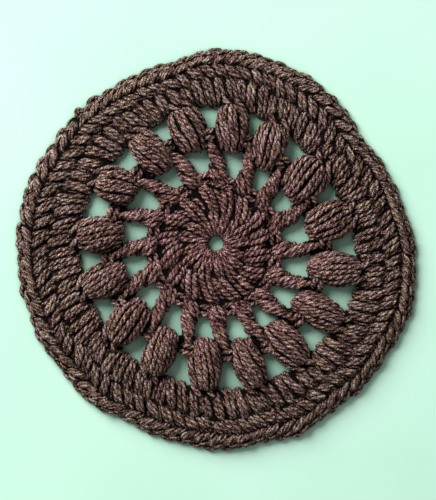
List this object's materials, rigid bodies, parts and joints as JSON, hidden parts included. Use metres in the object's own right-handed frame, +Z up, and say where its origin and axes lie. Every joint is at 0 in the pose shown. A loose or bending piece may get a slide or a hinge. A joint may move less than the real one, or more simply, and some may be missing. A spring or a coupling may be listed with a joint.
{
  "type": "crochet coaster",
  "caption": "Round crochet coaster of brown worsted yarn, with an open wheel of posts and plump puffs inside a solid band and a short-stitch edging.",
  "frame": {"origin": "middle of the coaster's box at the level of the table it lies on", "axes": "+Z up out of the cloth, through its thickness; +Y towards the top of the coaster as it lies, with the join of the last round at the upper left; +X to the right"},
  "size_m": [0.1302, 0.1304, 0.0074],
  "materials": {
    "yarn": "matt, slightly fuzzy three-ply worsted yarn in warm dark brown"
  },
  "bodies": {
    "root": {"coaster": "yarn"}
  },
  "joints": []
}
